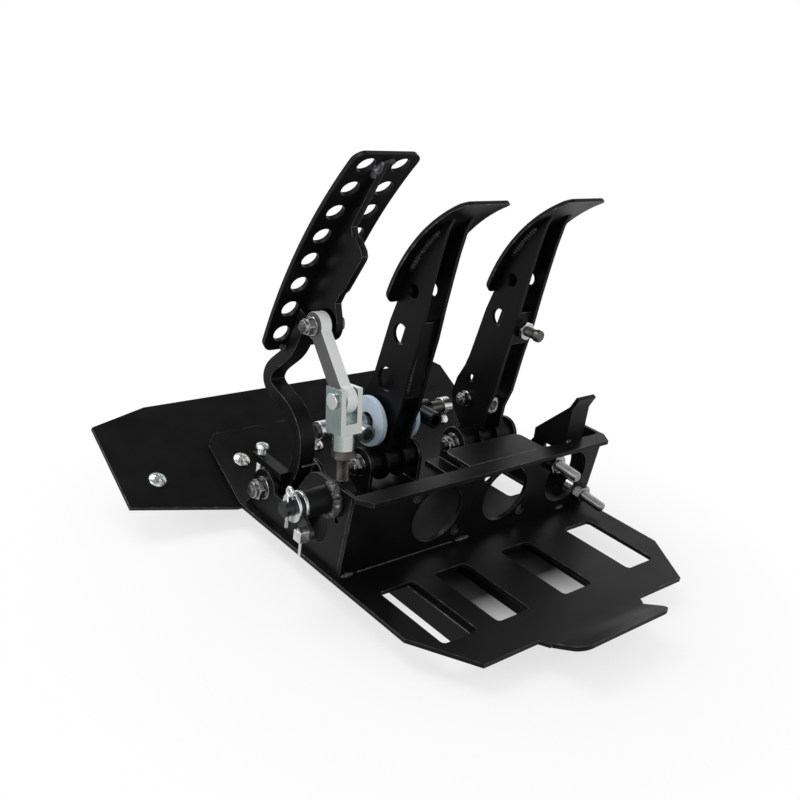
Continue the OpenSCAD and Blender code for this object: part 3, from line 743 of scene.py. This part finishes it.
def dress_stop_gusset():
    """The stop bracket's gusset carried down behind the flange, short of the cylinder bore."""
    low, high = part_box("stop_bracket")
    under_flange = 4.8 * MM
    drop = 3.8 * MM
    depth = 26 * MM
    gusset_t = 3 * MM
    inset = 0.1 * MM
    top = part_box("front_face")[1].z - under_flange
    corners = [(high.y - depth, top - drop), (high.y, top - drop), (high.y, top), (high.y - depth, top)]
    plate = extruded("stop_gusset_foot", corners, low.x + inset, low.x + gusset_t - inset)
    add_piece("stop_gusset_foot", plate, COAT, "frame")


def dress_rib():
    """The rib's outline: its free edge by points from the pedal pivot, its back on the blade's arc."""
    pivot = JOINT["throttle_pivot"]
    low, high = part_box("throttle_rib")
    first = math.asin((RIB_FRONT[-1][1] - BLADE_MIDDLE[1]) / BLADE_INSIDE)
    last = math.asin((RIB_FRONT[0][1] - BLADE_MIDDLE[1]) / BLADE_INSIDE)
    steps = 24
    turns = [first + (last - first) * k / steps for k in range(steps + 1)]
    mid_y, mid_z = BLADE_MIDDLE
    back = [(mid_y + BLADE_INSIDE * math.cos(a), mid_z + BLADE_INSIDE * math.sin(a)) for a in turns]
    outline = [(pivot.y + y * MM, pivot.z + z * MM) for y, z in RIB_FRONT + back]
    plate = extruded("throttle_rib_skin", outline, low.x, high.x)
    round_edges(plate, PLATE_ROUND, 1)
    add_piece("throttle_rib_skin", plate, COAT, "throttle", ["throttle_rib"], COAT_EDGE)
    pin = JOINT["link_pivot"]
    width = high.x - low.x
    edge_r = RIB_BOSS_R - PLATE_ROUND
    boss = turned("rib_boss", Vector((low.x, pin.y, pin.z)), -LEFT, [
        (edge_r, 0), (RIB_BOSS_R, PLATE_ROUND), (RIB_BOSS_R, width - PLATE_ROUND), (edge_r, width)])
    add_piece("rib_boss", boss, COAT, "throttle")


# Fasteners with threads, chamfers and lock rings

THREAD_R = 3.95 * MM
THREAD_PITCH = 1.25 * MM
WASHER_T = 1.6 * MM
FLATS = 13 * MM
LINK_FLATS = 10 * MM
BORE_SHARE = 0.3
THREAD_SHARE = 0.304


def washer_mesh(name, origin, axis, flats):
    """A plain washer with a broken outer edge, for a nut of the given width across flats."""
    bore = BORE_SHARE * flats
    rim = 0.63 * flats
    edge = 0.25 * MM
    return turned(name, origin, axis, [(bore, 0), (rim, 0), (rim, WASHER_T - edge), (rim - edge, WASHER_T),
                                       (bore, WASHER_T)], joined=True)


def lock_nut(name, seat, axis, body, nodes, flats):
    """A self-locking nut on its washer, with the coloured ring that grips the thread."""
    bore = BORE_SHARE * flats
    height = 0.43 * flats
    collar = 0.2 * flats
    start = seat + axis * WASHER_T
    nut = hex_mesh("nut", start, axis, flats, height, bore, 0.3, collar)
    washer = washer_mesh("washer", seat, axis, flats)
    add_piece(name + "_lock", join_meshes(name + "_lock", [washer, nut]), STEEL, body, nodes)
    top = height + collar * 0.72
    rim = 0.37 * flats
    grip = bore * 0.98
    ring = turned(name + "_ring", start, axis, [(grip, height), (rim, height), (rim, top), (grip, top)],
                  joined=True)
    add_piece(name + "_ring", ring, INSERT, body)
    return WASHER_T + height + collar


def pivot_bolt(bolt, nut, flats):
    """A bolt along X with its thread and lock nut at the left and its head at the right."""
    nut_points = min(islands(nut), key=lambda group: min(p.x for p in group))
    _, seat = axis_ends(nut_points, -LEFT)
    _, head_top = axis_ends(islands(bolt)[0], -LEFT)
    radius = THREAD_SHARE * flats
    head_h = 5.3 * MM
    spare_thread = 1.8 * MM
    under_top = 0.2 * MM
    reach = lock_nut(bolt, seat, LEFT, BODY_OF[nut], [nut], flats) + spare_thread
    thread = thread_mesh("thread", seat, LEFT, reach, radius, THREAD_PITCH)
    shank = turned("shank", seat, -LEFT, [(radius, 0), (radius, head_top.x - seat.x - under_top)])
    head = hex_mesh("head", head_top + LEFT * head_h, -LEFT, flats, head_h, radius * 0.9, 0.2)
    skin = join_meshes(bolt + "_skin", [thread, shank, head])
    add_piece(bolt + "_skin", skin, DARK, BODY_OF[bolt], [bolt])


def dress_pivots():
    for name in ("throttle", "brake", "clutch"):
        pivot_bolt(name + "_pivot_bolt", name + "_pivot_nut", FLATS)
    pivot_bolt("link_bolt", "link_nut", LINK_FLATS)
    spacer = max(islands("link_nut"), key=lambda group: min(p.x for p in group))
    start, end = axis_ends(spacer, -LEFT)
    rim = 7 * MM
    bore = 0.5 * rim
    length = (end - start).length
    ring = turned("link_spacer", start, -LEFT, [(bore, 0), (rim, 0), (rim, length), (bore, length)],
                  joined=True)
    add_piece("link_spacer", ring, STEEL, BODY_OF["link_nut"])


def dress_rod_bolt():
    """The bolt through the clutch trunnion, with a lock nut at the left."""
    end, head_top = axis_ends(islands("clutch_rod_bolt")[0], -LEFT)
    seat = Vector((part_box("clutch_plate_left")[0].x, end.y, end.z))
    head_at = Vector((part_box("clutch_plate_right")[1].x, end.y, end.z))
    reach = 9.5 * MM
    head_h = 6.5 * MM
    radius = THREAD_SHARE * LINK_FLATS
    thread = thread_mesh("thread", seat, LEFT, reach, radius, THREAD_PITCH)
    shank = turned("shank", seat, -LEFT, [(radius, 0), (radius, head_top.x - seat.x)])
    head = hex_mesh("head", head_at, -LEFT, FLATS, head_h, THREAD_R * 0.9, 0.4)
    skin = join_meshes("clutch_rod_bolt_skin", [thread, shank, head])
    add_piece("clutch_rod_bolt_skin", skin, DARK, "clutch", ["clutch_rod_bolt"])
    lock_nut("clutch_rod", seat, LEFT, "clutch", [], LINK_FLATS)


def ends_by_x(node, axis):
    """Start and end of each solid of a node on an axis, from left to right."""
    return sorted((axis_ends(group, axis) for group in islands(node)), key=lambda ends: ends[0].x)


def dress_studs():
    """The two bolts at the clutch cylinder, threads forward, and their nuts."""
    nuts = ends_by_x("cylinder_nuts", FACE_OUT)
    bolts = ends_by_x("cylinder_bolts", FACE_OUT)
    nut_parts = []
    bolt_parts = []
    head_h = 7 * MM
    head_r = 6.5 * MM
    for (face, nut_top), (head_back, tip) in zip(nuts, bolts):
        nut_parts.append(hex_mesh("nut", face, FACE_OUT, FLATS, (nut_top - face).length, THREAD_R, 0.5))
        bolt_parts.append(thread_mesh("stud", face, FACE_OUT, (tip - face).length, THREAD_R, THREAD_PITCH))
        shank_l = (face - head_back).length
        bolt_parts.append(turned("shank", head_back, FACE_OUT, [
            (head_r, 0), (head_r, head_h), (THREAD_R, head_h), (THREAD_R, shank_l)]))
    for node, parts in (("cylinder_nuts", nut_parts), ("cylinder_bolts", bolt_parts)):
        add_piece(node + "_skin", join_meshes(node + "_skin", parts), STEEL, "frame", [node])


def dress_stop_bolt():
    """The clutch stop bolt with its rounded nose, thread and jam nut."""
    nose, end = axis_ends(islands("clutch_stop_bolt")[0], BACK)
    nut_front, nut_back = axis_ends(islands("clutch_stop_nut")[0], BACK)
    nose_l = 4 * MM
    head = turned("nose", nose, BACK, [
        (3.6 * MM, 0), (4.6 * MM, 0.8 * MM), (4.75 * MM, nose_l), (THREAD_R, nose_l)])
    thread = thread_mesh("thread", end, -BACK, (end - nose).length - nose_l, THREAD_R, THREAD_PITCH)
    skin = join_meshes("clutch_stop_bolt_skin", [head, thread])
    add_piece("clutch_stop_bolt_skin", skin, DARK, "clutch", ["clutch_stop_bolt"])
    nut_h = (nut_back - nut_front).length
    nut = hex_mesh("clutch_stop_nut_skin", nut_front, BACK, FLATS, nut_h, THREAD_R, 0.2)
    add_piece("clutch_stop_nut_skin", nut, ZINC, "clutch", ["clutch_stop_nut"])


def dress_stop_screw():
    """The throttle stop screw: a domed head on a fine thread."""
    foot, top = axis_ends(islands("throttle_stop_screw")[0], UP)
    head_h = 3.2 * MM
    head_r = 4.75 * MM
    screw_r = 2.95 * MM
    screw_pitch = 1.0 * MM
    seat = top - UP * head_h
    head = turned("head", seat, UP, [
        (head_r, 0), (head_r, 0.9 * MM), (0.85 * head_r, 2.3 * MM), (0.45 * head_r, head_h),
        (0.3 * head_r, head_h), (0.25 * head_r, 1.6 * MM)])
    thread = thread_mesh("thread", seat, -UP, (seat - foot).length, screw_r, screw_pitch)
    skin = join_meshes("stop_screw_skin", [head, thread])
    add_piece("stop_screw_skin", skin, ZINC, "throttle", ["throttle_stop_screw"])


def dress_crank_rod():
    """The crank's boss with its threaded rod, and the jam nut under the clevis."""
    shaft = JOINT["crank_pivot"]
    top = max(islands("crank_rod")[0], key=lambda p: p.z)
    far = Vector((shaft.x, top.y, top.z)) - shaft
    low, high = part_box("rod_nut")
    rod = (low + high) / 2 - shaft
    axis = Vector((0, rod.y, rod.z)).normalized()
    boss_low, boss_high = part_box("crank_rod")
    boss_r = 10 * MM
    edge = 0.4 * MM
    edge_r = boss_r - edge
    bore = 5 * MM
    rod_start = 8.6 * MM
    width = boss_high.x - boss_low.x
    origin = Vector((boss_low.x, shaft.y, shaft.z))
    hub = turned("boss", origin, -LEFT, [
        (bore, 0), (edge_r, 0), (boss_r, edge), (boss_r, width - edge), (edge_r, width), (bore, width)],
        joined=True)
    add_piece("crank_boss_skin", hub, COAT, "crank", ["crank_rod"])
    thread = thread_mesh("crank_thread", shaft + axis * rod_start, axis, far.length - rod_start,
                         THREAD_R, THREAD_PITCH)
    add_piece("crank_thread", thread, DARK, "crank")
    start, end = axis_ends(islands("rod_nut")[0], axis)
    nut = hex_mesh("rod_nut_skin", start, axis, FLATS, (end - start).length, THREAD_R, 0.35)
    add_piece("rod_nut_skin", nut, DARK, "crank", ["rod_nut"])


# Weld beads

def arc_points(x, middle, radius, first, last):
    """Points on an arc in a plane across X, the angles in degrees from +Y towards +Z."""
    count = 40
    points = []
    for k in range(count + 1):
        a = math.radians(first + (last - first) * k / count)
        points.append(Vector((x, middle[0] + radius * math.cos(a), middle[1] + radius * math.sin(a))))
    return points


def steps_from(start, *steps):
    """Points at steps in millimetres from a start."""
    return [start + Vector(step) * MM for step in steps]


def weld_box():
    side_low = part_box("side_left")[0]
    shaft = JOINT["crank_pivot"]
    tube_low, tube_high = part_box("crank_tube")
    bead_r = (tube_high.z - tube_low.z) / 2 + 0.8 * MM
    seen_arc = (75, 290)
    round_tube = arc_points(side_low.x - 2.4 * MM, (shaft.y, shaft.z), bead_r, *seen_arc)
    weld_bead("tube_weld", round_tube, 3.6 * MM, "frame", WORN)
    tray_z = side_low.z
    face_points = (p for group in islands("front_face") for p in group)
    foot = min((p for p in face_points if p.z < tray_z + 0.1 * MM), key=lambda p: p.y)
    # Each seam along the foot of the face: its start and end from the left side, and its radius
    seams = (("corner_weld", 1, 11, 2.3), ("seam_weld", 14, 98, 0.7), ("middle_weld", 100, 113, 2.3),
             ("far_weld", 205, 214, 2.0))
    for name, start, end, radius in seams:
        ends = [Vector((side_low.x + x * MM, foot.y, tray_z)) for x in (start, end)]
        weld_bead(name, ends, radius * MM, "frame", WORN)
    bracket_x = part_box("stop_bracket")[0].x
    face_low, face_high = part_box("front_face")
    corner = Vector((bracket_x, face_low.y + 12 * MM, face_high.z))
    weld_bead("stop_weld", steps_from(corner, (0, 0, 0), (4, 0, 0.5)), 1.9 * MM, "frame", WORN)


# The arc of both pads, as (y, z) of its middle and the radius of its inner face
PAD_MIDDLE = (-0.0593315, 0.1369)
PAD_INSIDE = 0.1226
PAD_WELD_SINK = 0.6 * MM


def weld_pedals():
    for name, first, last in (("brake", 25, 44), ("clutch", 28, 43)):
        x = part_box(name + "_plate_left")[0].x
        bead = arc_points(x, PAD_MIDDLE, PAD_INSIDE - PAD_WELD_SINK, first, last)
        weld_bead(name + "_pad_weld", bead, 2.7 * MM, name, WELD)
    low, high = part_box("brake_stiffener")
    foot = Vector((low.x, high.y - 3 * MM, low.z + 4 * MM))
    weld_bead("stiffener_weld", [foot, Vector((low.x, low.y, high.z))], 2.0 * MM, "brake", WELD)
    pivot = JOINT["throttle_pivot"]
    rib_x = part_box("throttle_rib")[0].x
    top = Vector((rib_x, pivot.y + RIB_FRONT[0][0] * MM, pivot.z + RIB_FRONT[0][1] * MM))
    left_run = steps_from(top, (-1, 7, -10), (-1.5, 3, -4), (0, 0, 0.5))
    weld_bead("rib_weld_left", left_run, 3.2 * MM, "throttle", WORN)
    top_run = steps_from(top, (0, 0, 0), (5, 0, 1), (9, 1, 0))
    weld_bead("rib_weld_top", top_run, 2.6 * MM, "throttle", WELD)
    blade_low, blade_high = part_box("throttle_blade")
    low_end = Vector((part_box("throttle_arm")[0].x, blade_high.y - 2 * MM, blade_low.z + 1 * MM))
    arm_run = steps_from(low_end, (-5, -1, 2), (0, 0, 0), (2, 4, -5))
    weld_bead("arm_weld", arm_run, 2.8 * MM, "throttle", WORN)


make_camera()
make_world()
make_floor()
make_lights()
dress_rest()
dress_sheets()
dress_rib()
dress_stop_gusset()
dress_pivots()
dress_rod_bolt()
dress_studs()
dress_stop_bolt()
dress_stop_screw()
dress_crank_rod()
weld_box()
weld_pedals()

bpy.context.scene.view_settings.view_transform = "Standard"
